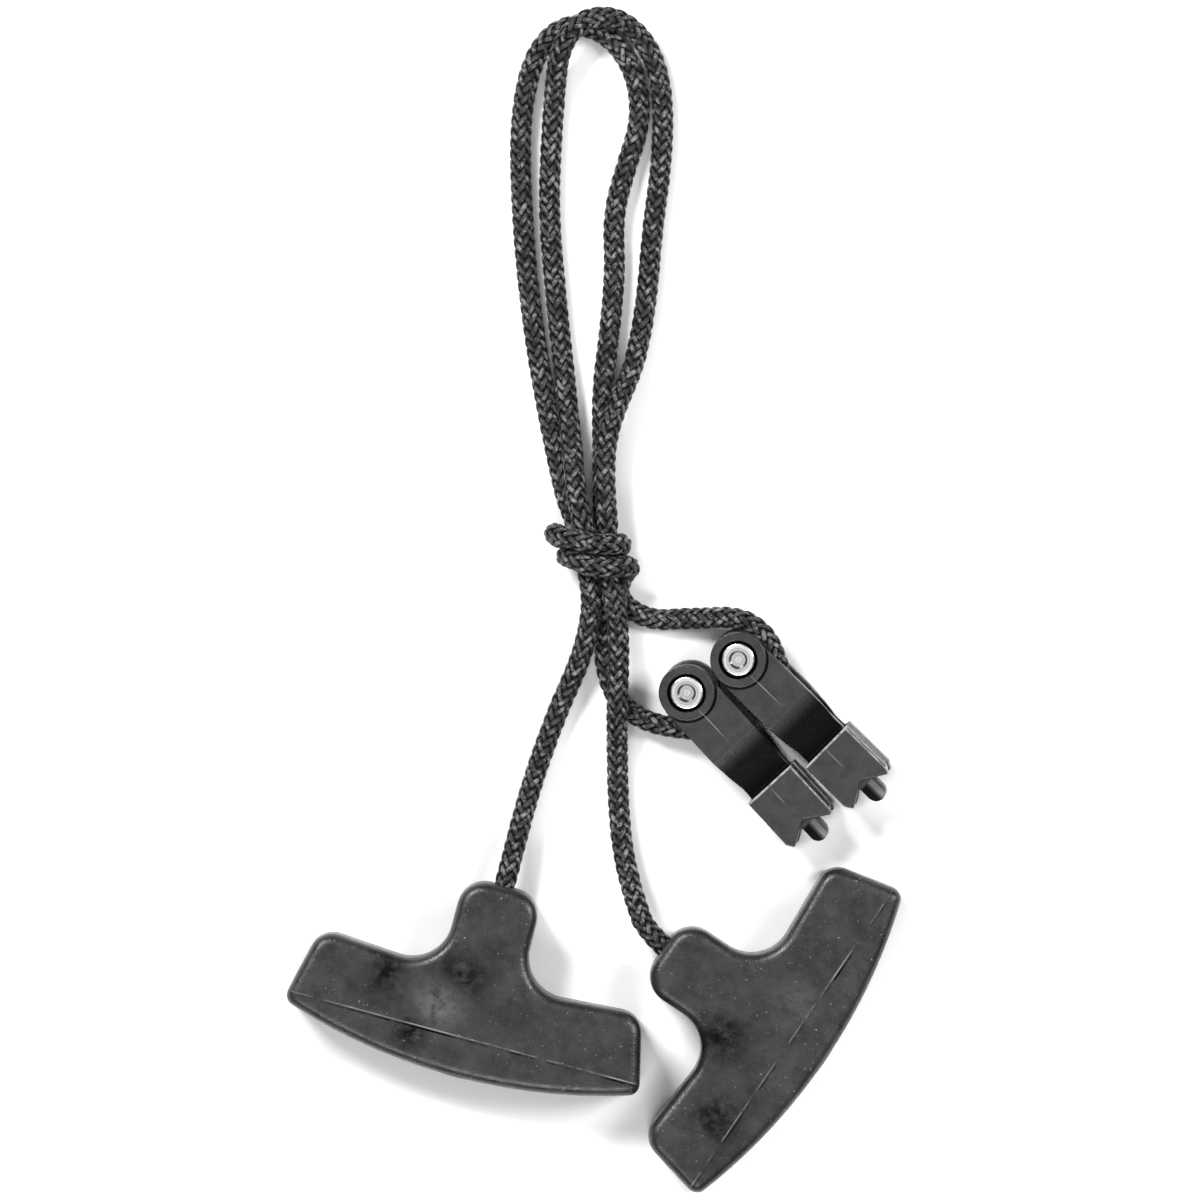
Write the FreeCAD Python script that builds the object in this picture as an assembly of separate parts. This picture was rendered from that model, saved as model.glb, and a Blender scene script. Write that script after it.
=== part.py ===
"""A pair of pull cords with T-handles and riveted rope clutches, as loose pieces in one frame.

Millimetres, +Z up. The set lies flat on z = 0: two braided cords are doubled and tied together
with one overhand knot. Each cord runs from a T-handle, up and over the bight, back through the
knot and into a rope clutch: two moulded cheeks that swing on a tubular rivet, with a tongue
between them that holds the cord's heat-formed end.
"""
import math
import os

import FreeCAD
import Part

V = FreeCAD.Vector
UP = V(0, 0, 1)

# Cord
CORD_R = 3.0                 # braided cord, 6 mm
ARC_SHARE = 0.45             # how much of the shorter run an arc may use

# T-handle: s runs across the bar, q up the stem to the cord, z up
HANDLE_T = 20.0              # thickness
HANDLE_AXIS_Z = HANDLE_T / 2
STEM_HALF = 11.3             # half width of the stem
STEM_CORNER_R = 7.6          # plan radius of the stem's top corners
SHOULDER_Q = -25.9           # lowest point of the finger saddles
SADDLE_R = 11.2              # rounding between the stem and a saddle
SADDLE_RISE = 4.0            # each saddle rises outwards, degrees
HORN_S = 41.0
HORN_R = 6.4
BAR_END_TURN = 77.0          # how far the horn turns down into the bar's end, degrees
BAR_END_Q = -42.6
BAR_END_S = 50.2             # half width that the palm's arc is struck over
END_LEAN = 1.3               # the bar's end leans in this much below its widest point
END_BULGE = 0.1
CREASE_Q = -43.5             # straight edge between the face and the palm
PALM_CORNER_Q = -46.6
PALM_Q = -54.3               # crown of the palm arc
EDGE_R = 3.0                 # moulded edge rounding
BORE_R = 3.7                 # cord bore through the stem
FLARE = 1.6                  # countersink at the stem's mouth
BELOW_Q = -60.0              # clear of the palm
POCKET_R = 7.2               # knot pocket in the palm
POCKET_FLOOR_Q = -38.0
GROOVE_W = 2.8               # gaps between the palm pads
GROOVE_DEPTH = 0.5
GROOVE_LONG = 11.0           # across the palm's thickness
CUTTER = 6.0
GROOVE_S = (-36.0, -24.0, -12.0, 12.0, 24.0, 36.0)
WASHER_R = 6.8
WASHER_T = 1.2
WASHER_HOLE_R = 3.6
WASHER_GAP = 0.1             # play above and below the washer
STOPPER_R = 6.4
STOPPER_LEN = 8.6 
STOPPER_EDGE_R = 2.6
NECK_TOP_Q = -20.0           # the stopper's neck meets the cord here
PLUG_R = 7.1                 # plug that closes the pocket, flush with the palm
PLUG_Q = -50.4

# Rope clutch: u runs from the rivet to the tip, v across, w through the thickness
BOSS_R = 7.8
ARM_HALF = 7.8
WAIST_HALF = 6.9             # the arm narrows where it is thin
BLOCK_HALF = 8.1
TIP_CORNER = 1.3             # the end block's corners are drawn in
ARM_SHIFT = -0.3             # the arm sits a little to one side of the rivet
INNER_W = 2.4                # inner face of a cheek
BOSS_W = 7.0                 # outer faces, from the middle plane
ARM_W = 6.2
VALLEY_W = 3.4
BLOCK_W = 6.9
VALLEY_U = 19.5              # where the arm starts to fall
WAIST_U = 30.5
BLOCK_U = 34.0               # step up to the end block
STEP_LEAN = 0.4
TIP_U = 51.6
NOTCH_U = 47.4               # root of the V notch
RECESS_R = 21.0              # room for the cord between the cheeks
RECESS_W = 3.5
PAD_R = 5.4                  # the cheek keeps its full thickness round the rivet
RIVET_R = 2.5
RUNNING = 0.06               # running clearance on the rivet
RIVET_BORE_R = 1.55          # hollow of the tubular rivet
HEAD_R = 4.7
HEAD_DISH_R = 2.5
HEAD_DISH = 0.9
HEAD_EDGE_R = 0.7
RIVET_FLOOR_W = 4.0          # the shank is hollow from the back up to here
SEAT_R = 5.2                 # counterbore for the rivet's head
SEAT_W = 5.7
RIVET_TOP_W = 6.9
RIVET_WASHER_T = 0.7
RIVET_WASHER_W = -6.5        # the washer's outer face, in the back cheek's counterbore
CLINCH_R = 3.5
CLINCH_W = -6.9
TONGUE_W = 2.2
TONGUE_EYE_R = 6.0
TONGUE_HALF = 6.4
NUB_HALF = 2.7
NUB_U = 55.6                 # end of the nub
NUB_START_U = 44.0
CORD_BULB_R = 4.0
BAY_CLEAR = 0.25
MOUTH_U = 6.6                # the bay's mouth opens towards the rivet from here
MOUTH_V = 5.6
OUTSIDE = 9.0                # clear of the tongue's edge

CLUTCH_ROLL = 9.0            # a clutch lies rolled on the thickness of its cord, degrees
CLUTCH_Z = 8.25              # height of its middle plane at the rivet

# Where the pieces lie
HANDLES = {1: (V(-24.9, 5.9, HANDLE_AXIS_Z), -15.1), 2: (V(18.7, -11.8, HANDLE_AXIS_Z), 55.7)}
CLUTCHES = {1: (V(40.4, 69.2, CLUTCH_Z), -44.5), 2: (V(26.2, 60.0, CLUTCH_Z), -47.3)}
BULBS = {1: (15.5, 1.8), 2: (14.3, -1.0)}            # u, v of the cord's end in its clutch

# Cord routes, x, y, z of each turn. Cord 1 lies under cord 2 along the whole bight.
ROUTES = {
    "cord_1_tail": [
        (-30.1, -13.4, 10.0), (-23.4, 11.5, 10.0), (-17.8, 31.7, 4.6), (-10.3, 53.3, 3.05),
        (-4.8, 65.9, 4.7), (-2.0, 75.3, 7.3), (-0.6, 83.9, 8.0), (-1.4, 91.7, 8.0)],
    "cord_1_loop": [
        (-5.5, 102.7, 7.2), (-8.0, 112.3, 4.2), (-11.6, 128.7, 3.05), (-16.2, 153.2, 3.05),
        (-19.3, 177.7, 3.05), (-20.9, 202.7, 3.05), (-20.5, 221.7, 3.05), (-16.8, 236.7, 3.05),
        (-9.6, 245.1, 3.05), (-0.6, 245.7, 3.05), (7.0, 240.1, 3.05), (12.0, 230.3, 3.05),
        (12.8, 218.1, 3.05), (9.2, 204.3, 3.05), (5.6, 191.7, 3.05), (5.7, 176.1, 3.05),
        (3.8, 159.3, 3.05), (1.9, 144.7, 3.05), (1.7, 128.7, 3.05), (2.1, 113.7, 3.2), (1.8, 102.7, 4.4)],
    "cord_1_lead": [
        (8.6, 91.7, 3.6), (9.0, 84.2, 3.1), (15.4, 79.4, 3.05), (23.2, 79.8, 3.1), (30.2, 79.9, 5.4),
        (36.8, 80.9, 9.0), (42.9, 80.4, 10.3), (48.6, 76.4, 10.2), (51.7, 70.3, 9.7), (52.6, 62.2, 8.85)],
    "cord_2_tail": [
        (35.2, -23.1, 10.0), (17.0, -10.7, 10.0), (10.2, 3.3, 8.6), (7.4, 16.2, 5.0), (6.3, 29.9, 3.2),
        (6.2, 41.3, 4.0), (6.0, 54.1, 9.5), (6.7, 68.1, 9.8), (6.1, 80.7, 9.5), (4.4, 91.5, 9.2)],
    "cord_2_loop": [
        (-3.2, 102.9, 12.6), (-4.6, 112.5, 10.6), (-6.6, 127.7, 5.6), (-8.5, 144.7, 3.1),
        (-11.1, 168.7, 3.05), (-13.1, 192.7, 3.05), (-12.1, 212.7, 3.05), (-11.4, 226.7, 3.4),
        (-10.6, 238.7, 9.4), (-5.0, 247.3, 9.6), (3.8, 249.7, 7.6), (12.2, 244.9, 4.4),
        (17.4, 235.1, 3.05), (19.0, 221.1, 3.05), (17.6, 204.7, 3.05), (15.1, 186.7, 3.05),
        (13.7, 168.3, 3.05), (10.8, 151.1, 3.6), (6.2, 139.1, 8.4), (2.7, 128.7, 9.5),
        (2.8, 115.3, 9.6), (3.0, 103.1, 10.6)],
    "cord_2_lead": [
        (2.4, 91.7, 3.3), (2.9, 83.3, 3.05), (2.8, 73.9, 3.05), (3.2, 64.7, 3.05), (6.6, 56.3, 3.1),
        (12.6, 51.9, 4.3), (19.4, 49.6, 6.2), (26.8, 48.9, 7.1), (33.6, 49.2, 8.0)],
}

# Overhand knot that ties all four strands
KNOT_LOW = V(-13.8, 87.9, 0.02)
KNOT_SIZE = V(25.6, 18.4, 18.9)
KNOT_R = 5.6


def cylinder(radius, low, high, x=0.0, y=0.0):
    """A cylinder along +Z between two heights."""
    return Part.makeCylinder(radius, high - low, V(x, y, low), UP)


def prism(points, low, high):
    """A closed outline in X and Y, made solid between two heights."""
    wire = Part.makePolygon([V(x, y, low) for x, y in points] + [V(points[0][0], points[0][1], low)])
    return Part.Face(wire).extrude(V(0, 0, high - low))


def along_q(shape):
    """Turn a shape made along +Z so that it lies along the handle's +q (local +Y)."""
    turned = shape.copy()
    turned.rotate(V(0, 0, 0), V(1, 0, 0), -90)
    return turned


def place_on_handle(shape, number):
    placed = shape.copy()
    origin, heading = HANDLES[number]
    placed.Placement = FreeCAD.Placement(origin, FreeCAD.Rotation(UP, heading)).multiply(placed.Placement)
    return placed


def place_on_clutch(shape, number):
    placed = shape.copy()
    origin, heading = CLUTCHES[number]
    lie = FreeCAD.Rotation(UP, heading).multiply(FreeCAD.Rotation(V(1, 0, 0), CLUTCH_ROLL))
    placed.Placement = FreeCAD.Placement(origin, lie).multiply(placed.Placement)
    return placed


# ---------------------------------------------------------------- T-handle

def turn(centre, radius, start, end):
    """An arc between two directions, given in degrees."""
    def point(angle):
        rad = math.radians(angle)
        return V(centre.x + radius * math.cos(rad), centre.y + radius * math.sin(rad), 0)

    return Part.Arc(point(start), point((start + end) / 2), point(end)).toShape()


def handle_outline():
    """Plan outline of the T-handle: rounded stem, finger saddles, horns and the palm's arc."""
    stem_top = turn(V(STEM_HALF - STEM_CORNER_R, -STEM_CORNER_R, 0), STEM_CORNER_R, 90, 0)
    saddle = turn(V(STEM_HALF + SADDLE_R, SHOULDER_Q + SADDLE_R, 0), SADDLE_R, 180, 270 + SADDLE_RISE)
    rise = math.radians(SADDLE_RISE)
    start = saddle.Vertexes[1].Point
    run = (HORN_S - start.x - HORN_R * math.sin(rise)) / math.cos(rise)
    horn_centre = V(HORN_S, start.y + run * math.sin(rise) - HORN_R * math.cos(rise), 0)
    horn = turn(horn_centre, HORN_R, 90 + SADDLE_RISE, 90 - BAR_END_TURN)
    end_start = horn.Vertexes[1].Point
    slope = math.tan(math.radians(90 - BAR_END_TURN))
    bar_end = V(end_start.x + (end_start.y - BAR_END_Q) * slope, BAR_END_Q, 0)
    palm_corner = V(bar_end.x - END_LEAN, PALM_CORNER_Q, 0)
    right = [
        Part.LineSegment(V(0, 0, 0), stem_top.Vertexes[0].Point).toShape(),
        stem_top,
        Part.LineSegment(stem_top.Vertexes[1].Point, saddle.Vertexes[0].Point).toShape(),
        saddle,
        Part.LineSegment(saddle.Vertexes[1].Point, horn.Vertexes[0].Point).toShape(),
        horn,
        Part.LineSegment(end_start, bar_end).toShape(),
        Part.Arc(bar_end, V(bar_end.x + END_BULGE, (BAR_END_Q + PALM_CORNER_Q) / 2, 0), palm_corner).toShape(),
    ]
    left = [edge.mirror(V(0, 0, 0), V(1, 0, 0)) for edge in right]
    palm = Part.Arc(palm_corner, V(0, PALM_Q, 0), V(-palm_corner.x, palm_corner.y, 0)).toShape()
    return Part.Wire(Part.__sortEdges__(right + [palm] + left))


def handle_side():
    """Side profile, flat faces and a half-ellipse palm, made solid across the whole bar."""
    half_t = HANDLE_T / 2
    ellipse = Part.Ellipse(V(0, PALM_Q, 0), V(0, CREASE_Q, half_t), V(0, CREASE_Q, 0))
    arc = Part.ArcOfEllipse(ellipse, -math.pi / 2, math.pi / 2).toShape()
    ends = [vertex.Point for vertex in arc.Vertexes]
    low, high = sorted(ends, key=lambda point: point.z)
    outer = Part.makePolygon([high, V(0, 2, half_t), V(0, 2, -half_t), low])
    wire = Part.Wire(Part.__sortEdges__([arc] + outer.Edges))
    solid = Part.Face(wire).extrude(V(2 * BAR_END_S + 8, 0, 0))
    solid.translate(V(-BAR_END_S - 4, 0, 0))
    return solid


def handle_blank():
    """The T's outer shape, with nothing cut into it."""
    half_t = HANDLE_T / 2
    plan = Part.Face(handle_outline()).extrude(V(0, 0, HANDLE_T))
    plan.translate(V(0, 0, -half_t))
    rims = [
        edge for edge in plan.Edges
        if edge.BoundBox.ZLength < 1e-3 and abs(abs(edge.BoundBox.ZMin) - half_t) < 1e-3
    ]
    return plan.makeFillet(EDGE_R, rims).common(handle_side())


def handle_body():
    body = handle_blank()
    cuts = [
        along_q(cylinder(BORE_R, BELOW_Q, 1)),
        along_q(Part.makeCone(BORE_R, BORE_R + FLARE + 1, FLARE + 1, V(0, 0, -FLARE), UP)),
        along_q(cylinder(POCKET_R, BELOW_Q, POCKET_FLOOR_Q)),
    ]
    arc_rise = PALM_CORNER_Q - PALM_Q
    arc_r = (BAR_END_S ** 2 + arc_rise ** 2) / (2 * arc_rise)
    for s in GROOVE_S:
        q = PALM_Q + arc_r - math.sqrt(arc_r ** 2 - s ** 2)
        corner = V(-GROOVE_W / 2, GROOVE_DEPTH - CUTTER, -GROOVE_LONG / 2)
        slot = Part.makeBox(GROOVE_W, CUTTER, GROOVE_LONG, corner)
        slot.rotate(V(0, 0, 0), UP, math.degrees(math.asin(s / arc_r)))
        slot.translate(V(s, q, 0))
        cuts.append(slot)
    for cut in cuts:
        body = body.cut(cut)
    return body


def palm_plug():
    """Plug behind the stopper knot, its outer face part of the palm."""
    return handle_blank().common(along_q(cylinder(PLUG_R, BELOW_Q, PLUG_Q)))


def stopper():
    """The knot in the cord's end, with its neck up to where the free cord starts."""
    low = POCKET_FLOOR_Q - WASHER_T - 2 * WASHER_GAP - STOPPER_LEN
    knot = cylinder(STOPPER_R, low, low + STOPPER_LEN)
    knot = knot.makeFillet(STOPPER_EDGE_R, [knot.Edges[0], knot.Edges[2]])
    return along_q(knot.fuse(cylinder(CORD_R, low + STOPPER_LEN / 2, NECK_TOP_Q)))


def handle_washer():
    top = POCKET_FLOOR_Q - WASHER_GAP
    ring = cylinder(WASHER_R, top - WASHER_T, top)
    return along_q(ring.cut(cylinder(WASHER_HOLE_R, top - 2 * WASHER_T, top + 1)))


# ---------------------------------------------------------------- rope clutch

def cheek_side():
    """Side profile of a cheek: level arm, hollow valley and the step up to the end block."""
    valley = Part.BSplineCurve()
    foot_u = BLOCK_U - STEP_LEAN
    dip = [(VALLEY_U, ARM_W), (VALLEY_U + 3.5, ARM_W - 1.1), (VALLEY_U + 8, ARM_W - 2.35), (foot_u, VALLEY_W)]
    valley.interpolate([V(u, 0, w) for u, w in dip])
    walls = [(foot_u, VALLEY_W), (BLOCK_U, BLOCK_W), (TIP_U + 1, BLOCK_W), (TIP_U + 1, INNER_W),
             (-BOSS_R - 1, INNER_W), (-BOSS_R - 1, ARM_W), (VALLEY_U, ARM_W)]
    edges = Part.makePolygon([V(u, 0, w) for u, w in walls]).Edges
    wire = Part.Wire(Part.__sortEdges__([valley.toShape()] + edges))
    reach = BOSS_R + 2
    solid = Part.Face(wire).extrude(V(0, 2 * reach, 0))
    solid.translate(V(0, -reach, 0))
    return solid


def cheek():
    """One moulded cheek: boss, arm, valley and the notched end block, above the middle plane."""
    half = [(0, ARM_HALF), (VALLEY_U, ARM_HALF), (WAIST_U - 4.5, ARM_HALF - 0.3), (WAIST_U, WAIST_HALF),
            (BLOCK_U, WAIST_HALF + 0.1), (BLOCK_U, BLOCK_HALF), (TIP_U - 2, BLOCK_HALF),
            (TIP_U, BLOCK_HALF - TIP_CORNER)]
    outline = half + [(NOTCH_U, 0)] + [(u, -v) for u, v in reversed(half)]
    plan = prism([(u, v + ARM_SHIFT) for u, v in outline], INNER_W, BOSS_W)
    body = plan.common(cheek_side()).fuse(cylinder(BOSS_R, INNER_W, BOSS_W))
    body = body.cut(cylinder(RECESS_R, 0, RECESS_W).cut(cylinder(PAD_R, 0, RECESS_W)))
    body = body.cut(cylinder(RIVET_R + RUNNING, 0, BOSS_W + 1))
    body = body.cut(cylinder(SEAT_R, SEAT_W, BOSS_W + 1))
    return body.removeSplitter()


def mirrored_in_w(shape):
    return shape.mirror(V(0, 0, 0), UP)


def tongue(number):
    """The flat tongue between the cheeks, with the bay that holds the cord's end and the nub."""
    u, v = BULBS[number]
    side = 1 if number == 1 else -1
    bar = prism([(0, -TONGUE_EYE_R), (TONGUE_HALF, -TONGUE_HALF), (NUB_START_U - 3, -TONGUE_HALF),
                 (NUB_START_U, -NUB_HALF), (NUB_U - NUB_HALF, -NUB_HALF), (NUB_U - NUB_HALF, NUB_HALF),
                 (NUB_START_U, NUB_HALF), (NUB_START_U - 3, TONGUE_HALF), (TONGUE_HALF, TONGUE_HALF),
                 (0, TONGUE_EYE_R)], -TONGUE_W, TONGUE_W)
    bar = bar.fuse([cylinder(TONGUE_EYE_R, -TONGUE_W, TONGUE_W),
                    cylinder(NUB_HALF, -TONGUE_W, TONGUE_W, NUB_U - NUB_HALF, 0)])
    bay_r = CORD_BULB_R + BAY_CLEAR
    bay = cylinder(bay_r, -5, 5, u, v)
    mouth = prism([(MOUTH_U, side * OUTSIDE), (MOUTH_U, side * MOUTH_V), (u - bay_r, v), (u + bay_r, v),
                   (u + bay_r, side * OUTSIDE)], -5, 5)
    bar = bar.cut(bay).cut(mouth)
    return bar.cut(cylinder(RIVET_R + RUNNING, -5, 5)).removeSplitter()


def rivet():
    """Semi-tubular rivet: dished head, hollow shank and the rolled end that holds the washer."""
    body = cylinder(RIVET_R, CLINCH_W, RIVET_TOP_W)
    body = body.fuse([cylinder(HEAD_R, SEAT_W, RIVET_TOP_W), cylinder(CLINCH_R, CLINCH_W, RIVET_WASHER_W)])
    rim = [edge for edge in body.Edges if abs(edge.BoundBox.ZMin - RIVET_TOP_W) < 1e-4]
    body = body.makeFillet(HEAD_EDGE_R, rim)
    body = body.cut(cylinder(RIVET_BORE_R, CLINCH_W - 1, RIVET_FLOOR_W))
    dish = Part.makeCone(HEAD_DISH_R - 0.5, HEAD_DISH_R, HEAD_DISH, V(0, 0, RIVET_TOP_W - HEAD_DISH), UP)
    return body.cut(dish)


def rivet_washer():
    ring = cylinder(HEAD_R, RIVET_WASHER_W, RIVET_WASHER_W + RIVET_WASHER_T)
    return ring.cut(cylinder(RIVET_R, RIVET_WASHER_W - 1, RIVET_WASHER_W + 2))


def cord_end(number):
    """The cord's heat-formed end, a flattened bulb in the tongue's bay."""
    u, v = BULBS[number]
    return cylinder(CORD_BULB_R, -CORD_R, CORD_R, u, v)


# ---------------------------------------------------------------- cords and knot

def cord(name, route):
    """Straight runs joined by tangent arcs, swept with a round section."""
    points = [V(*point) for point in route]
    edges, radii, here = [], [], points[0]
    for before, corner, after in zip(points, points[1:], points[2:]):
        into, out = (corner - before), (after - corner)
        shorter = min(into.Length, out.Length)
        into.normalize()
        out.normalize()
        half_turn = into.getAngle(out) / 2
        reach = ARC_SHARE * shorter
        radius = reach / math.tan(half_turn)
        radii.append(radius)
        start, end = corner - into * reach, corner + out * reach
        to_centre = (out - into).normalize()
        middle = corner + to_centre * (radius / math.cos(half_turn) - radius)
        edges.append(Part.LineSegment(here, start).toShape())
        edges.append(Part.Arc(start, middle, end).toShape())
        here = end
    edges.append(Part.LineSegment(here, points[-1]).toShape())
    path = Part.Wire(edges)
    section = Part.Wire(Part.makeCircle(CORD_R, points[0], points[1] - points[0]))
    tube = path.makePipeShell([section], True, True)
    share = tube.Volume / (math.pi * CORD_R ** 2 * path.Length)
    print(f"{name}: {path.Length:.1f} mm, tightest {min(radii):.1f}, volume / (section x length) {share:.4f}")
    print("   radii", " ".join(f"{radius:.0f}" for radius in radii))
    return tube


def cord_knot():
    block = Part.makeBox(KNOT_SIZE.x, KNOT_SIZE.y, KNOT_SIZE.z, KNOT_LOW)
    return block.makeFillet(KNOT_R, block.Edges)


def build():
    parts = {"cord_knot": cord_knot()}
    for name, route in ROUTES.items():
        parts[name] = cord(name, route)
    body, washer, knot, plug = handle_body(), handle_washer(), stopper(), palm_plug()
    front = cheek()
    for number in (1, 2):
        parts[f"handle_{number}"] = place_on_handle(body, number)
        parts[f"handle_washer_{number}"] = place_on_handle(washer, number)
        parts[f"stopper_knot_{number}"] = place_on_handle(knot, number)
        parts[f"palm_plug_{number}"] = place_on_handle(plug, number)
        parts[f"front_cheek_{number}"] = place_on_clutch(front, number)
        parts[f"back_cheek_{number}"] = place_on_clutch(mirrored_in_w(front), number)
        parts[f"tongue_{number}"] = place_on_clutch(tongue(number), number)
        parts[f"rivet_{number}"] = place_on_clutch(rivet(), number)
        parts[f"rivet_washer_{number}"] = place_on_clutch(rivet_washer(), number)
        parts[f"cord_end_{number}"] = place_on_clutch(cord_end(number), number)
    return parts


if __name__ == "__main__":
    os.makedirs("parts", exist_ok=True)
    for name, shape in build().items():
        solid = shape.Solids[0] if len(shape.Solids) == 1 else shape
        print(f"{name}: valid {solid.isValid()}, solids {len(shape.Solids)}, {solid.Volume:.0f} mm3")
        solid.exportStep(f"parts/{name}.step")
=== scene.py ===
"""Looks for a pair of pull cords with T-handles and riveted rope clutches. +Z up, around the CAD frame.

Blender's own values are in metres. Places on the object are in mm, and MM turns them into metres.
"""

import math

import bpy
import numpy as np
from mathutils import Matrix, Vector


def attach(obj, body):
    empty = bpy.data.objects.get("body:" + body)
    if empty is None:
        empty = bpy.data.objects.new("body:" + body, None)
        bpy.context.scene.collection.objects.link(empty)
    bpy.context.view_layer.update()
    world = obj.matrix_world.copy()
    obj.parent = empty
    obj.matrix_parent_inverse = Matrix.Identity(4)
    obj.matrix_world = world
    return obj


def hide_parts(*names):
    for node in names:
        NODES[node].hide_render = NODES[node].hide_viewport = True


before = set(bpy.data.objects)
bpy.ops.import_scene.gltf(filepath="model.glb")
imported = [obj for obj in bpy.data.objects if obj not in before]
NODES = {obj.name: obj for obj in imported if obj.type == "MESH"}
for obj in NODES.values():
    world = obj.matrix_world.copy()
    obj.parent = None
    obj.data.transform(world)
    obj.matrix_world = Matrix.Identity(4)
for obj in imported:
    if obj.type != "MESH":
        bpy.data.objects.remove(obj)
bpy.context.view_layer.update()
MM = 0.001
SETS = (1, 2)                # each set is one cord with its handle and its clutch


# ---------------------------------------------------------------- camera and light

CAMERA_PLACE = (0.0015, 0.0850, 2.6)
FOCUS_HEIGHT = 0.009         # m, the height of the set's upper faces
FRAME_WIDTH = 0.3324         # m across the picture at that height
LIGHT_TARGET = (0, 0.08, 0)
LIGHTS = (("softbox", (0.0, 0.1, 2.2), (1.5, 1.5), 5.2),     # name, place, size, watts
          ("key", (-0.75, 0.95, 1.25), (0.5, 0.4), 33.0),
          ("right", (1.05, 0.35, 1.15), (0.4, 0.7), 17.0),
          ("near", (-0.2, -1.0, 1.2), (0.9, 0.4), 13.0))
WORLD_STRENGTH = 0.16


def look_down(place, width):
    """A long-lens camera straight above the set, with a picture width metres across."""
    camera = bpy.data.objects.new("camera", bpy.data.cameras.new("camera"))
    camera.data.sensor_width = 36.0
    camera.data.lens = camera.data.sensor_width * (place[2] - FOCUS_HEIGHT) / width
    camera.data.clip_end = 20.0
    camera.location = place
    bpy.context.scene.collection.objects.link(camera)
    bpy.context.scene.camera = camera


def area_light(name, place, size, power):
    light = bpy.data.objects.new(name, bpy.data.lights.new(name, "AREA"))
    light.data.shape = "RECTANGLE"
    light.data.size, light.data.size_y = size
    light.data.energy = power
    light.location = place
    light.rotation_euler = (Vector(LIGHT_TARGET) - Vector(place)).to_track_quat("-Z", "Y").to_euler()
    bpy.context.scene.collection.objects.link(light)


look_down(CAMERA_PLACE, FRAME_WIDTH)
for settings in LIGHTS:
    area_light(*settings)

world = bpy.data.worlds.new("studio")
bpy.context.scene.world = world
world.use_nodes = True
background = world.node_tree.nodes["Background"]
background.inputs["Color"].default_value = (1, 1, 1, 1)
background.inputs["Strength"].default_value = WORLD_STRENGTH
bpy.context.scene.view_settings.view_transform = "Standard"


# ---------------------------------------------------------------- node helpers

def grey(value):
    return (value, value, value)


def material(name, color, roughness, metallic=0.0, specular=0.5):
    """A Principled material and its shader, with the values that are the same all over set on it."""
    made = bpy.data.materials.new(name)
    made.use_nodes = True
    shader = made.node_tree.nodes["Principled BSDF"]
    shader.inputs["Base Color"].default_value = (*color, 1)
    shader.inputs["Roughness"].default_value = roughness
    shader.inputs["Metallic"].default_value = metallic
    shader.inputs["Specular IOR Level"].default_value = specular
    return made, shader


def node(made, kind, **values):
    """A new node: settings by attribute name, socket values by input name."""
    new = made.node_tree.nodes.new(kind)
    for key, value in values.items():
        if hasattr(new, key):
            setattr(new, key, value)
        else:
            new.inputs[key.replace("_", " ")].default_value = value
    return new


def link(made, out, into):
    made.node_tree.links.new(out, into)


def attribute(made, name):
    return node(made, "ShaderNodeAttribute", attribute_name=name).outputs["Fac"]


def noise(made, scale, detail=4.0, roughness=0.55):
    new = node(made, "ShaderNodeTexNoise", Scale=scale, Detail=detail)
    new.inputs["Roughness"].default_value = roughness
    link(made, node(made, "ShaderNodeTexCoord").outputs["Object"], new.inputs["Vector"])
    return new.outputs["Fac"]


def mapped(made, value, low, high, to_low, to_high, interpolation="LINEAR"):
    """Value mapped from one range onto another."""
    new = node(made, "ShaderNodeMapRange", interpolation_type=interpolation,
               From_Min=low, From_Max=high, To_Min=to_low, To_Max=to_high)
    link(made, value, new.inputs["Value"])
    return new.outputs["Result"]


def smooth(made, value, low, high, to_low=0.0, to_high=1.0):
    """As mapped, eased at both ends."""
    return mapped(made, value, low, high, to_low, to_high, "SMOOTHSTEP")


def multiply(made, first, second):
    new = node(made, "ShaderNodeMath", operation="MULTIPLY")
    link(made, first, new.inputs[0])
    if isinstance(second, float):
        new.inputs[1].default_value = second
    else:
        link(made, second, new.inputs[1])
    return new.outputs[0]


def band(made, value, centre, half, fade):
    """1 within half of centre, fading to 0."""
    rise = smooth(made, value, centre - half - fade, centre - half)
    fall = smooth(made, value, centre + half, centre + half + fade, 1.0, 0.0)
    return multiply(made, rise, fall)


def mix(made, factor, first, second):
    """Two colours, each fixed or from a socket, mixed by a factor."""
    new = node(made, "ShaderNodeMix", data_type="RGBA")
    link(made, factor, new.inputs["Factor"])
    for socket, value in ((new.inputs[6], first), (new.inputs[7], second)):
        if isinstance(value, tuple):
            socket.default_value = (*value, 1)
        else:
            link(made, value, socket)
    return new.outputs[2]


def bump(made, shader, *layers):
    """Bump layers (height, distance in metres, strength), each on top of the one before."""
    normal = None
    for height, distance, strength in layers:
        new = node(made, "ShaderNodeBump", Distance=distance, Strength=strength)
        link(made, height, new.inputs["Height"])
        if normal is not None:
            link(made, normal, new.inputs["Normal"])
        normal = new.outputs["Normal"]
    link(made, normal, shader.inputs["Normal"])


def vector_math(made, operation, first, second=(0, 0, 0)):
    """A Vector Math node on a vector from a socket and a fixed one."""
    new = node(made, "ShaderNodeVectorMath", operation=operation)
    link(made, first, new.inputs[0])
    new.inputs[1].default_value = second
    return new


def off_axis(made, place):
    """The distance of a position from its own z axis."""
    flat = vector_math(made, "MULTIPLY", place, (1, 1, 0)).outputs["Vector"]
    return vector_math(made, "LENGTH", flat).outputs["Value"]


# ---------------------------------------------------------------- where the moulded parts lie, in mm

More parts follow.
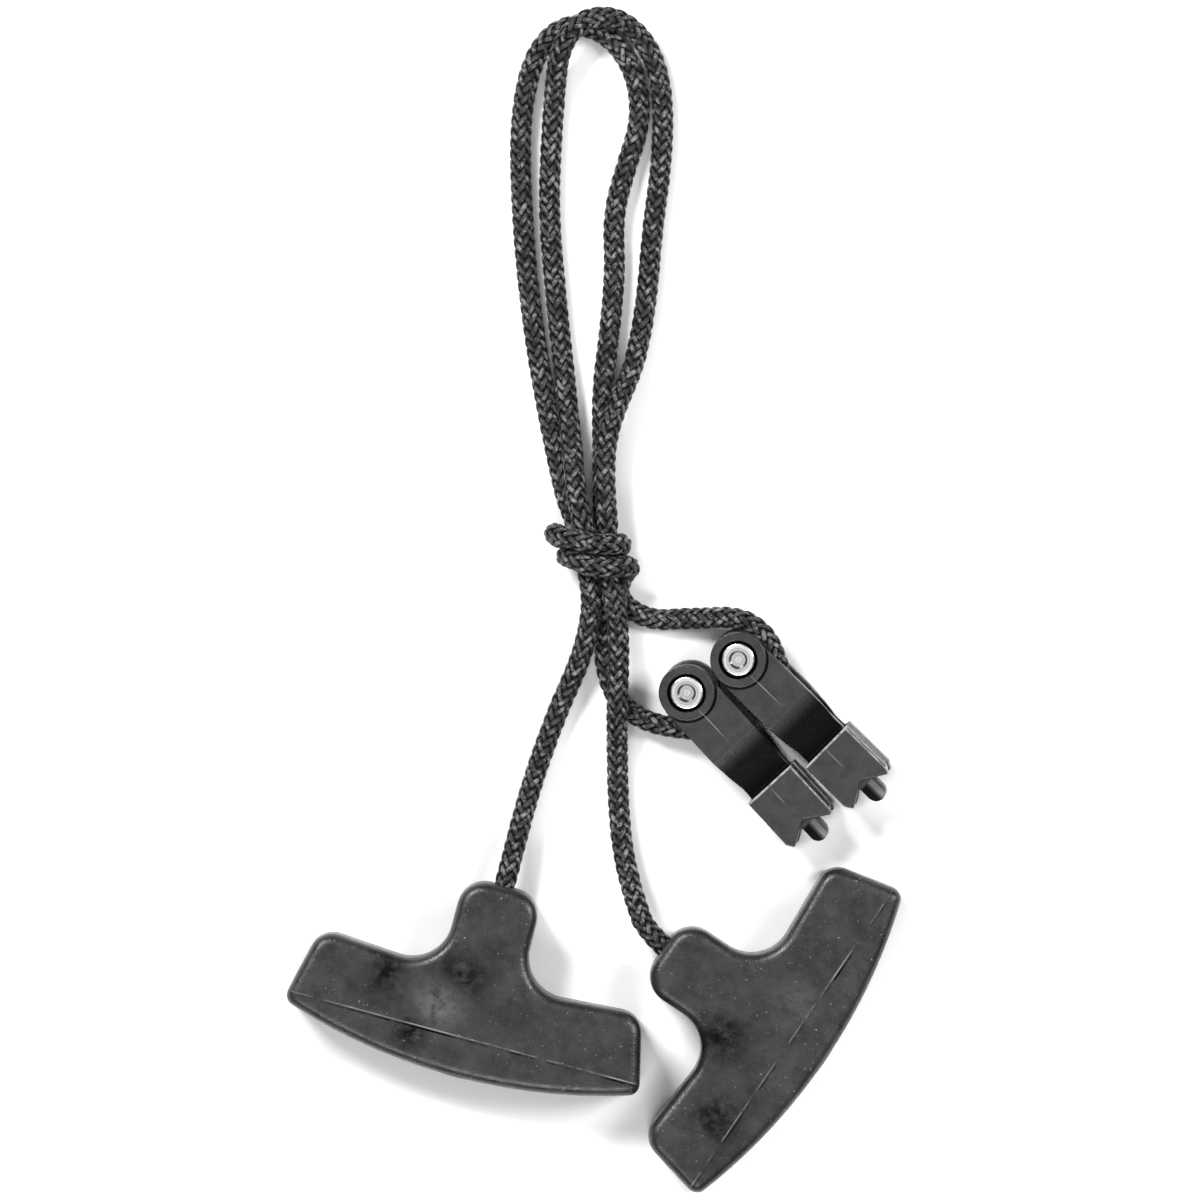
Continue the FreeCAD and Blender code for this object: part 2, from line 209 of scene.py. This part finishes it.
HANDLES = {1: ((-24.9, 5.9, 10.0), -15.1), 2: ((18.7, -11.8, 10.0), 55.7)}       # origin, heading in degrees
CLUTCHES = {1: ((40.4, 69.2, 8.25), -44.5), 2: ((26.2, 60.0, 8.25), -47.3)}
CLUTCH_ROLL = 9.0            # degrees


def handle_place(number):
    """Local handle coordinates, x across and y up the stem, to the frame."""
    origin, heading = HANDLES[number]
    return Matrix.Translation(origin) @ Matrix.Rotation(math.radians(heading), 4, "Z")


def clutch_place(number):
    """Local clutch coordinates, u to the tip, v across and w through the thickness, to the frame."""
    origin, heading = CLUTCHES[number]
    return (Matrix.Translation(origin) @ Matrix.Rotation(math.radians(heading), 4, "Z")
            @ Matrix.Rotation(math.radians(CLUTCH_ROLL), 4, "X"))


def local(made, place):
    """The position in a placed part's own coordinates, in mm: as one vector, and as its three values."""
    back = place.inverted()
    turned = node(made, "ShaderNodeMapping")
    turned.inputs["Location"].default_value = back.translation
    turned.inputs["Rotation"].default_value = back.to_euler()
    turned.inputs["Scale"].default_value = (1 / MM, 1 / MM, 1 / MM)
    link(made, node(made, "ShaderNodeTexCoord").outputs["Object"], turned.inputs["Vector"])
    split = node(made, "ShaderNodeSeparateXYZ")
    link(made, turned.outputs["Vector"], split.inputs["Vector"])
    return turned.outputs["Vector"], [split.outputs[i] for i in range(3)]


# ---------------------------------------------------------------- plastic

PAINTED_SHADE_BELOW = 0.005                 # marks darker than this are painted shade, which also dims their reflection
PAINTED_SHADE_TINT = 0.12

# Spans are (start, end) and stripes (centre, half width, fade), in mm in the part's own coordinates.
NUB_START = (49.0, 50.0)
NUB_SHADE_END = (-0.9, 0.3)
NUB_CREST = (1.0, 0.5, 0.5)

# Painted shade lies in the valley, at the boss's foot and round the rivet head; painted highlights lie along the
# parting line and on the end block's edges.
VALLEY_START, VALLEY_END = (17.0, 25.0), (33.95, 34.15)
ARM_LINE_START, ARM_LINE_END = (5.5, 6.0), (12.0, 19.0)
PARTING_LINE = (-0.7, 0.07, 0.12)
BLOCK_LINE = (38.0, 2.0, 2.0)
BLOCK_START, BLOCK_TOP = (34.0, 34.4), (5.2, 6.0)
STEP_EDGE = (34.35, 0.18, 0.2)
SIDE_EDGE = (7.35, 0.14, 0.2)
BOSS_FOOT, BOSS_FOOT_START = (8.15, 0.18, 0.3), (1.0, 4.0)
RIVET_SEAT = (5.0, 0.35, 0.25)

HANDLE_TOP, TOP_START = 10.0, (8.5, 9.5)
CREASE_FADE = 0.16
# The crease's painted highlight line, and below it its painted shade line.
CREASE_LINES = ((-43.1, 0.10, 0.17), (-43.7, 0.2, 0.001))    # centre, half width, grey
# Painted reflections on each handle's face: dark patches, and one pale patch.
PAINTED_REFLECTIONS = {1: (((-5.0, -27.6), 11.0, 0.0008), ((-9.0, -36.0), 11.0, 0.075),      # centre, reach, grey
               ((-15.0, -45.5), 8.0, 0.0015), ((-25.0, -31.5), 9.0, 0.003)),
           2: (((-10.0, -27.0), 11.0, 0.0015), ((9.0, -39.0), 11.0, 0.040),
               ((-30.0, -38.0), 11.0, 0.003))}


def moulded_plastic(name, dark, light, roughness, grain, specks=0.0, marks=None):
    """Black glass-filled plastic: flow clouds, a fine moulded grain and pin-prick specks.

    marks adds one part's painted highlights and painted shade: it gets the material and returns (factor, colour)
    pairs.
    """
    made, shader = material(name, dark, roughness)
    clouds = mapped(made, noise(made, 90.0, 6.0, 0.7), 0.36, 0.64, 0.0, 1.0)
    base = mix(made, clouds, dark, light)
    if specks:
        speck = mapped(made, noise(made, 1300.0, 1.0), 0.725, 0.76, 0.0, specks)
        base = mix(made, speck, base, grey(0.5))
    reflection_tint = grey(1.0)
    for factor, colour in (marks(made) if marks else ()):
        base = mix(made, factor, base, colour)
        # Painted shade also dims the reflection, through the specular tint.
        if max(colour) < PAINTED_SHADE_BELOW:
            reflection_tint = mix(made, factor, reflection_tint, grey(PAINTED_SHADE_TINT))
    link(made, base, shader.inputs["Base Color"])
    if not isinstance(reflection_tint, tuple):
        link(made, reflection_tint, shader.inputs["Specular Tint"])
    link(made, mapped(made, noise(made, 320.0, 6.0, 0.7), 0.35, 0.65, roughness - 0.10, roughness + 0.10),
         shader.inputs["Roughness"])
    bump(made, shader, (noise(made, 120.0, 3.0), 0.0003, 0.3), (noise(made, 1100.0, 4.0, 0.7), 0.00016, grain))
    return made


def tongue_marks(number):
    """The nub's ridge: painted shade on its lower half and a painted highlight along its crest."""
    def marks(made):
        u, v, _ = local(made, clutch_place(number))[1]
        on_nub = smooth(made, u, *NUB_START)
        # Painted shade on the nub's lower half, a painted highlight on its crest.
        lower = multiply(made, smooth(made, v, *NUB_SHADE_END, 1.0, 0.0), on_nub)
        crest = multiply(made, band(made, v, *NUB_CREST), on_nub)
        return [(lower, grey(0.003)), (crest, grey(0.14))]
    return marks


def clutch_marks(number):
    """Painted shade at the boss's foot, in the groove round the rivet head and in the valley; painted highlights
    along the parting line and on the end block's step and side edges.
    """
    def marks(made):
        place, (u, v, w) = local(made, clutch_place(number))
        radius = off_axis(made, place)
        foot = multiply(made, band(made, radius, *BOSS_FOOT), smooth(made, u, *BOSS_FOOT_START))
        valley = multiply(made, smooth(made, u, *VALLEY_START), smooth(made, u, *VALLEY_END, 1.0, 0.0))
        on_arm = multiply(made, smooth(made, u, *ARM_LINE_START), smooth(made, u, *ARM_LINE_END, 1.0, 0.0))
        parting = band(made, v, *PARTING_LINE)
        # Noise that breaks up the painted lines.
        patchy = mapped(made, noise(made, 400.0, 3.0), 0.35, 0.55, 0.25, 1.0)
        # Painted highlights along the parting line and on the end block's step and side edges.
        painted_highlights = ((parting, on_arm, 0.16), (parting, band(made, u, *BLOCK_LINE), 0.12),
                  (band(made, u, *STEP_EDGE), smooth(made, w, *BLOCK_TOP), 0.30),
                  (band(made, v, *SIDE_EDGE), smooth(made, u, *BLOCK_START), 0.24))
        # Painted shade: the boss's foot, the groove round the rivet head and the valley.
        return ([(foot, grey(0.001)), (band(made, radius, *RIVET_SEAT), grey(0.0005)),
                 (valley, (0.0008, 0.0008, 0.0009))]
                + [(multiply(made, multiply(made, stripe, where), patchy), grey(tone))
                   for stripe, where, tone in painted_highlights])
    return marks


def handle_marks(number):
    """Painted reflections, dark patches and a pale one, and the crease's painted highlight line and painted shade
    line.
    """
    def marks(made):
        place, (_, y, z) = local(made, handle_place(number))
        found = []
        ragged = noise(made, 260.0, 6.0, 0.75)
        for centre, reach, tone in PAINTED_REFLECTIONS[number]:
            gap = vector_math(made, "DISTANCE", place, (*centre, HANDLE_TOP)).outputs["Value"]
            near = smooth(made, gap, 0.0, reach, 1.4, 0.0)
            found.append((multiply(made, near, mapped(made, ragged, 0.36, 0.56, 0.0, 0.75)), grey(tone)))
        # Noise that breaks up the crease's painted lines.
        patchy = mapped(made, noise(made, 70.0, 5.0, 0.7), 0.44, 0.60, 0.0, 1.0)
        top = smooth(made, z, *TOP_START)
        for centre, half, tone in CREASE_LINES:
            crease = multiply(made, band(made, y, centre, half, CREASE_FADE), top)
            found.append((multiply(made, crease, patchy), grey(tone)))
        return found
    return marks


CHARCOAL = (0.024, 0.024, 0.025)
HANDLE_PLASTIC = {number: moulded_plastic(f"handle_plastic_{number}", (0.005, 0.005, 0.0055), CHARCOAL,
                                          roughness=0.33, grain=0.7, specks=0.35, marks=handle_marks(number))
                  for number in SETS}
CLUTCH_PLASTIC = {number: moulded_plastic(f"clutch_plastic_{number}", (0.014, 0.014, 0.015), CHARCOAL,
                                          roughness=0.36, grain=0.4, marks=clutch_marks(number))
                  for number in SETS}
TONGUE_PLASTIC = {number: moulded_plastic(f"tongue_plastic_{number}", (0.030, 0.030, 0.031),
                                          (0.042, 0.042, 0.043), roughness=0.36, grain=0.4,
                                          marks=tongue_marks(number))
                  for number in SETS}
MELTED = moulded_plastic("melted_cord", (0.010, 0.010, 0.011), (0.016, 0.016, 0.017), roughness=0.30, grain=0.6)


# ---------------------------------------------------------------- yarn and metal

FILAMENTS = 9                # fine lines across a strand
# The rivet head's rings of painted highlight and painted shade, as greys by radius.
RIVET_REACH = 5.0            # mm, the radius at which the rings' ramp ends
RIVET_CENTRE, RIVET_EDGE = 0.55, 0.05                        # grey at the ramp's start and end
RIVET_RINGS = ((0.12, 0.85), (0.24, 0.55), (0.34, 0.70), (0.44, 0.20), (0.50, 0.16), (0.56, 0.80),
               (0.64, 0.50), (0.69, 0.90), (0.86, 0.85), (0.92, 0.25))           # part of the reach, grey


def braid_fibre():
    """Black polyester yarn: painted glints on the strands, painted shade in the gaps between them, filament lines
    along them.
    """
    made, shader = material("cord_fibre", (0.02, 0.02, 0.022), 0.42, specular=0.35)
    shader.inputs["Sheen Weight"].default_value = 0.05
    shader.inputs["Sheen Roughness"].default_value = 0.4
    crown = smooth(made, attribute(made, "crown"), 0.50, 0.96)
    lines = node(made, "ShaderNodeMath", operation="SINE")
    link(made, multiply(made, attribute(made, "across"), 2 * math.pi * FILAMENTS), lines.inputs[0])
    tone = mix(made, attribute(made, "strand"), (0.010, 0.010, 0.0105), (0.042, 0.042, 0.043))
    # Painted glints on the strands.
    glint = mapped(made, noise(made, 420.0, 3.0, 0.7), 0.50, 0.64, 0.0, 1.0)
    tone = mix(made, glint, tone, grey(0.24))
    # Painted shade in the gaps between the strands, in the colour and in the reflection.
    link(made, mix(made, crown, (0.0008, 0.0008, 0.0009), tone), shader.inputs["Base Color"])
    link(made, mix(made, crown, grey(0.05), grey(1.0)), shader.inputs["Specular Tint"])
    bump(made, shader, (noise(made, 900.0, 3.0), 0.00012, 0.5), (lines.outputs[0], 0.00006, 0.8))
    return made


def bright_metal(name, color, roughness):
    made, shader = material(name, color, roughness, metallic=1.0)
    link(made, mapped(made, noise(made, 900.0, 4.0), 0.3, 0.7, roughness - 0.06, roughness + 0.1),
         shader.inputs["Roughness"])
    bump(made, shader, (noise(made, 300.0, 3.0), 0.00006, 0.2))
    return made


def rivet_metal(number):
    """Bright plated steel with rings of painted highlight and painted shade: painted shade in the dish's corner
    and round the head's edge.
    """
    made = bright_metal(f"rivet_metal_{number}", grey(0.9), 0.24)
    radius = off_axis(made, local(made, clutch_place(number))[0])
    ramp = node(made, "ShaderNodeValToRGB")
    link(made, mapped(made, radius, 0.0, RIVET_REACH, 0.0, 1.0), ramp.inputs["Fac"])
    elements = ramp.color_ramp.elements
    elements[0].color = (*grey(RIVET_CENTRE), 1)
    elements[1].color = (*grey(RIVET_EDGE), 1)
    for at, tone in RIVET_RINGS:
        elements.new(at).color = (*grey(tone), 1)
    link(made, ramp.outputs["Color"], made.node_tree.nodes["Principled BSDF"].inputs["Base Color"])
    return made


CORD_FIBRE = braid_fibre()
RIVET_METAL = {number: rivet_metal(number) for number in SETS}
WASHER_STEEL = bright_metal("washer_steel", (0.6, 0.6, 0.62), 0.34)


# ---------------------------------------------------------------- the cords' routes, in mm

TAIL_1 = [(-30.1, -13.4, 10.0), (-23.4, 11.5, 10.0), (-18.3, 31.5, 4.6), (-10.7, 53.3, 3.05),
          (-4.9, 65.9, 4.7), (-2.0, 75.3, 7.3), (-0.6, 83.9, 8.0)]
KNOT_1_UP = [(-1.6, 91.7, 8.2), (-3.2, 97.5, 9.0), (-4.6, 103.0, 8.0), (-6.0, 108.6, 6.0)]
LOOP_1 = [(-8.0, 113.3, 4.2), (-11.4, 128.7, 3.05), (-16.0, 153.2, 3.05), (-19.1, 177.7, 3.05),
          (-20.7, 202.7, 3.05), (-20.3, 221.7, 3.05), (-16.8, 236.3, 3.05), (-9.6, 244.3, 3.05),
          (-0.6, 244.3, 3.05), (7.0, 238.9, 3.05), (12.0, 229.3, 3.05), (12.8, 217.1, 3.05),
          (8.4, 204.3, 3.05), (5.1, 191.7, 3.05), (5.7, 176.1, 3.05), (4.2, 159.3, 3.05),
          (2.2, 144.7, 3.05), (2.2, 128.7, 3.05)]
KNOT_1_DOWN = [(2.5, 112.7, 5.0), (2.3, 104.4, 5.0), (1.5, 97.5, 5.0), (-4.0, 95.9, 3.5), (-8.9, 97.6, 7.0),
               (-5.2, 96.1, 14.0), (0.1, 93.9, 15.5), (6.2, 94.1, 14.0), (10.6, 94.6, 8.0), (7.2, 90.9, 3.8)]
LEAD_1 = [(6.4, 85.9, 3.1), (11.2, 81.2, 3.05), (17.8, 79.3, 3.05), (24.2, 79.9, 3.1), (30.4, 80.0, 5.4),
          (36.6, 80.4, 8.8), (42.4, 79.2, 10.1), (47.2, 75.4, 10.0), (50.2, 69.9, 9.5), (52.1, 62.2, 8.85)]

TAIL_2 = [(35.2, -23.1, 10.0), (15.2, -9.4, 10.0), (10.6, 3.3, 8.6), (7.6, 16.2, 5.0), (6.5, 29.9, 3.2),
          (6.3, 41.3, 4.0), (6.1, 54.1, 9.5), (6.8, 68.1, 9.8), (6.4, 80.7, 9.5)]
KNOT_2_UP = [(3.8, 90.5, 9.2), (1.2, 96.1, 9.0), (-0.7, 100.3, 9.0), (-2.6, 104.4, 12.0),
             (-4.0, 109.4, 13.0)]
LOOP_2 = [(-5.2, 115.5, 10.6), (-6.3, 127.7, 5.6), (-8.1, 144.7, 3.1), (-10.7, 168.7, 3.05),
          (-12.8, 192.7, 3.05), (-12.0, 212.7, 3.05), (-11.0, 226.7, 3.4), (-9.8, 237.3, 9.4), (-4.8, 245.1, 9.6),
          (3.8, 247.3, 7.6), (12.0, 242.9, 4.4), (17.2, 233.9, 3.05), (19.2, 221.1, 3.05),
          (18.4, 204.7, 3.05), (15.9, 186.7, 3.05), (14.5, 168.3, 3.05), (11.4, 151.1, 3.6),
          (6.3, 139.1, 8.4), (2.9, 128.7, 9.5), (2.8, 115.3, 9.6)]
KNOT_2_DOWN = [(3.7, 105.8, 10.0), (3.2, 101.6, 8.0), (-0.7, 99.9, 4.0), (-8.2, 101.4, 3.5), (-12.1, 103.8, 8.6),
               (-8.2, 102.6, 15.0), (-1.3, 100.4, 16.5), (4.6, 100.3, 15.0), (8.0, 100.8, 9.0),
               (5.9, 98.3, 3.5), (3.4, 91.7, 3.3)]
LEAD_2 = [(2.6, 83.3, 3.05), (2.6, 73.9, 3.05), (3.2, 64.7, 3.05), (6.6, 56.6, 3.1), (12.6, 52.1, 4.3),
          (19.4, 50.0, 6.2), (26.8, 49.0, 7.1), (33.6, 49.2, 8.0)]

STOPPER = [(0, -20.5, 0), (0, -30, 0), (0, -37.8, 0), (0.6, -40.6, 1.0), (3.0, -41.8, 1.5), (3.2, -42.4, -2.0),
           (0, -43.2, -3.3), (-3.2, -44.0, -1.5), (-2.6, -44.5, 2.2), (0.6, -44.8, 3.0)]     # in the handle


# ---------------------------------------------------------------- cords

DIAMETER = 6.0               # mm, over the braid
CARRIERS = 8                 # strands each way round
BRAID_LEAD = 24.5            # mm along the cord for one turn of a strand
CORE_R = 2.00                # mm, mean radius of the strands' centres
LIFT = 0.50                  # mm, how far a strand rises and dips as it passes the others
STRAND_WANDER = 0.03         # mm, how much the strands' radii differ
STRAND_HALF = (0.80, 0.55)   # mm, half width and half thickness
RING = 6                     # points round a strand
STEP = 0.62                  # mm between a strand's rings
SAME_PLACE = 1e-6            # mm, points nearer than this are one
BULBS = {1: (15.5, 1.8), 2: (14.3, -1.0)}                    # u and v of the melted ends, mm
BULB_R = 4.0
BULB_ROWS, BULB_COLS = 22, 40
BULB_FILL, LUMP = 0.93, 0.012                                # of the bulb's size


def smooth_line(name, points):
    """Points along the NURBS through a route, in mm, a fraction of a millimetre apart."""
    curve = bpy.data.curves.new(name, "CURVE")
    curve.dimensions = "3D"
    curve.resolution_u = 20
    spline = curve.splines.new("NURBS")
    spline.points.add(len(points) - 1)
    for point, place in zip(spline.points, points):
        point.co = (*[c * MM for c in place], 1)
    spline.order_u = 3
    spline.use_endpoint_u = True
    holder = bpy.data.objects.new(name, curve)
    mesh = bpy.data.meshes.new_from_object(holder)
    line = np.array([v.co for v in mesh.vertices]) / MM
    bpy.data.meshes.remove(mesh)
    bpy.data.objects.remove(holder)
    return line


def evenly(line, step):
    """The same line in equal steps, and the distance along it."""
    gaps = np.linalg.norm(np.diff(line, axis=0), axis=1)
    line = line[np.concatenate([[True], gaps > SAME_PLACE])]
    along = np.concatenate([[0], np.cumsum(np.linalg.norm(np.diff(line, axis=0), axis=1))])
    at = np.linspace(0, along[-1], int(round(along[-1] / step)) + 1)
    return np.stack([np.interp(at, along, line[:, i]) for i in range(3)], axis=1), at


def unit(vectors):
    return vectors / np.linalg.norm(vectors, axis=-1, keepdims=True)


def carried_frames(line):
    """Two normals carried along the line without twist."""
    tangent = unit(np.gradient(line, axis=0))
    first = np.zeros_like(line)
    first[0] = unit(np.cross(tangent[0], (0, 0, 1.0)))
    for i in range(1, len(line)):
        first[i] = unit(first[i - 1] - tangent[i] * np.dot(first[i - 1], tangent[i]))
    return first, np.cross(tangent, first)


def tube_mesh(name, centres, sides, ups, half, attributes):
    """Closed tubes, one for each strand, from ring centres (strands, rings, 3) and their cross directions."""
    strands, rings = centres.shape[:2]
    angle = np.arange(RING) * 2 * math.pi / RING
    ring = (centres[:, :, None, :] + half[0] * np.cos(angle)[None, None, :, None] * sides[:, :, None, :]
            + half[1] * np.sin(angle)[None, None, :, None] * ups[:, :, None, :])
    points = ring.reshape(-1, 3) * MM
    first = (np.arange(strands) * rings * RING)[:, None, None]
    start = first + (np.arange(rings - 1) * RING)[None, :, None]
    col = np.arange(RING)[None, None, :]
    nxt = (col + 1) % RING
    quads = np.stack([start + col, start + nxt, start + RING + nxt, start + RING + col], axis=-1)
    faces = quads.reshape(-1, 4).tolist()
    for k in range(strands):
        base = k * rings * RING
        faces.append([base + c for c in range(RING)][::-1])
        faces.append([base + (rings - 1) * RING + c for c in range(RING)])
    mesh = bpy.data.meshes.new(name)
    mesh.from_pydata(points.tolist(), [], faces)
    mesh.polygons.foreach_set("use_smooth", np.ones(len(mesh.polygons), bool))
    for key, values in attributes.items():
        layer = mesh.attributes.new(key, "FLOAT", "POINT")
        layer.data.foreach_set("value", np.ascontiguousarray(values, dtype=np.float32).ravel())
    mesh.update()
    return mesh


def cord_piece(name, mesh, made):
    """A piece of cord from its mesh, which rides with the cords."""
    mesh.materials.append(made)
    piece = bpy.data.objects.new(name, mesh)
    bpy.context.scene.collection.objects.link(piece)
    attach(piece, "cords")
    return piece


def braid(name, route, phase, seed):
    """A 16-strand two-over, two-under braid along a route. Returns the piece and its line in mm."""
    line, at = evenly(smooth_line(name, route), STEP)
    first, second = carried_frames(line)
    rng = np.random.default_rng(seed)
    centres, sides, ups, tones, lifts = [], [], [], [], []
    for k in range(2 * CARRIERS):
        way = 1 if k < CARRIERS else -1
        turn = phase + 2 * math.pi * (k % CARRIERS) / CARRIERS + way * 2 * math.pi * at / BRAID_LEAD
        wave = way * np.cos(math.pi / 2 * (CARRIERS * turn / math.pi - 0.5))
        lift = wave * (1.5 - 0.5 * wave ** 2)
        radial = np.cos(turn)[:, None] * first + np.sin(turn)[:, None] * second
        radius = CORE_R + LIFT * lift + rng.normal(0, STRAND_WANDER)
        centre = line + radius[:, None] * radial
        run = unit(np.gradient(centre, axis=0))
        side = unit(np.cross(run, radial))
        centres.append(centre)
        sides.append(side)
        ups.append(np.cross(side, run))
        tones.append(rng.uniform(0, 1))
        lifts.append(0.5 + 0.5 * lift)
    shape = (2 * CARRIERS, len(at), RING)
    across = np.broadcast_to(np.abs(np.linspace(-1, 1, RING, endpoint=False)), shape)
    tone = np.broadcast_to(np.array(tones)[:, None, None], shape)
    # crown: how far out on the braid a point lies; the yarn's painted shade falls where it is low.
    outward = 0.5 + 0.5 * np.sin(np.arange(RING) * 2 * math.pi / RING)
    crown = np.sqrt(np.array(lifts))[:, :, None] * outward[None, None, :]
    mesh = tube_mesh(name, np.array(centres), np.array(sides), np.array(ups), STRAND_HALF,
                     {"across": across, "strand": tone, "crown": crown})
    return cord_piece(name, mesh, CORD_FIBRE), line


def stopper_knot(number):
    """The cord's own stopper knot: one tight turn under the washer, in the palm's pocket."""
    place = handle_place(number)
    route = [tuple(place @ Vector(point)) for point in STOPPER]
    piece = braid(f"braided_stopper_{number}", route, 0.2 * number, 20 + number)[0]
    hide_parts(f"stopper_knot_{number}")
    return piece


def melted_end(number):
    """The cord's heat-formed end: a flattened, slightly lumpy bulb with a flat on each side."""
    place = clutch_place(number)
    u, v = BULBS[number]
    size = np.array((BULB_R, BULB_R, DIAMETER / 2))
    lumps = np.random.default_rng(30 + number).normal(0, 1, (4, 3))
    points = []
    for i in range(1, BULB_ROWS):
        tilt = math.pi * i / BULB_ROWS
        flat = np.sign(math.cos(tilt)) * abs(math.cos(tilt)) ** 0.5
        wide = abs(math.sin(tilt)) ** 0.5
        for j in range(BULB_COLS):
            spin = 2 * math.pi * j / BULB_COLS
            way = np.array([wide * math.cos(spin), wide * math.sin(spin), flat])
            swell = BULB_FILL + LUMP * sum(math.sin(3 * float(way @ lump) + 5 * lump[0]) for lump in lumps)
            off = way * size * swell
            points.append(tuple(place @ Vector((u + off[0], v + off[1], off[2]))))
    ends = [tuple(place @ Vector((u, v, BULB_FILL * w))) for w in (DIAMETER / 2, -DIAMETER / 2)]
    faces = []
    for i in range(BULB_ROWS - 2):
        row, below = i * BULB_COLS, (i + 1) * BULB_COLS
        for j in range(BULB_COLS):
            k = (j + 1) % BULB_COLS
            faces.append((row + j, below + j, below + k, row + k))
    top, bottom = len(points), len(points) + 1
    last = (BULB_ROWS - 2) * BULB_COLS
    faces += [(top, j, (j + 1) % BULB_COLS) for j in range(BULB_COLS)]
    faces += [(bottom, last + (j + 1) % BULB_COLS, last + j) for j in range(BULB_COLS)]
    mesh = bpy.data.meshes.new(f"melted_end_{number}")
    mesh.from_pydata([[c * MM for c in point] for point in points + ends], [], faces)
    mesh.polygons.foreach_set("use_smooth", np.ones(len(faces), bool))
    piece = cord_piece(f"melted_end_{number}", mesh, MELTED)
    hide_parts(f"cord_end_{number}")
    return piece


def lay_cord(number, route, phase):
    piece, line = braid(f"braided_cord_{number}", route, phase, seed=number)
    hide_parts(f"cord_{number}_tail", f"cord_{number}_loop", f"cord_{number}_lead", "cord_knot")
    stopper_knot(number)
    melted_end(number)


lay_cord(1, TAIL_1 + KNOT_1_UP + LOOP_1 + KNOT_1_DOWN + LEAD_1, phase=0.0)
lay_cord(2, TAIL_2 + KNOT_2_UP + LOOP_2 + KNOT_2_DOWN + LEAD_2, phase=0.4)


# ---------------------------------------------------------------- carried-over nodes

SOFTENED = {"handle": (0.00042, 24), "front_cheek": (0.00022, 5),                # voxel in m, rounds
            "back_cheek": (0.00022, 5), "tongue": (0.00022, 5)}


def dress(name, made):
    """A CAD node keeps its shape and gets a better material."""
    mesh = NODES[name].data
    mesh.materials.clear()
    mesh.materials.append(made)


def soften(name, voxel, rounds):
    """Rounds a moulded node's edges, with modifiers over its unchanged mesh."""
    remesh = NODES[name].modifiers.new("even_mesh", "REMESH")
    remesh.mode = "VOXEL"
    remesh.voxel_size = voxel
    remesh.use_smooth_shade = True
    rounding = NODES[name].modifiers.new("rounding", "SMOOTH")
    rounding.factor = 0.5
    rounding.iterations = rounds


for number in SETS:
    for part, (voxel, rounds) in SOFTENED.items():
        soften(f"{part}_{number}", voxel, rounds)
    for part, made in (("handle", HANDLE_PLASTIC[number]), ("palm_plug", HANDLE_PLASTIC[number]),
                       ("front_cheek", CLUTCH_PLASTIC[number]), ("back_cheek", CLUTCH_PLASTIC[number]),
                       ("tongue", TONGUE_PLASTIC[number]), ("rivet", RIVET_METAL[number]),
                       ("rivet_washer", WASHER_STEEL), ("handle_washer", WASHER_STEEL)):
        dress(f"{part}_{number}", made)


# ---------------------------------------------------------------- floor

FLOOR_HALF, FLOOR_Z = 6.0, -0.00005                          # m

floor_mesh = bpy.data.meshes.new("floor")
corners = [(x * FLOOR_HALF, y * FLOOR_HALF, FLOOR_Z) for x, y in ((-1, -1), (1, -1), (1, 1), (-1, 1))]
floor_mesh.from_pydata(corners, [], [(0, 1, 2, 3)])
floor = bpy.data.objects.new("floor", floor_mesh)
bpy.context.scene.collection.objects.link(floor)
floor_mesh.materials.append(material("floor", grey(0.93), 0.9, specular=0.1)[0])
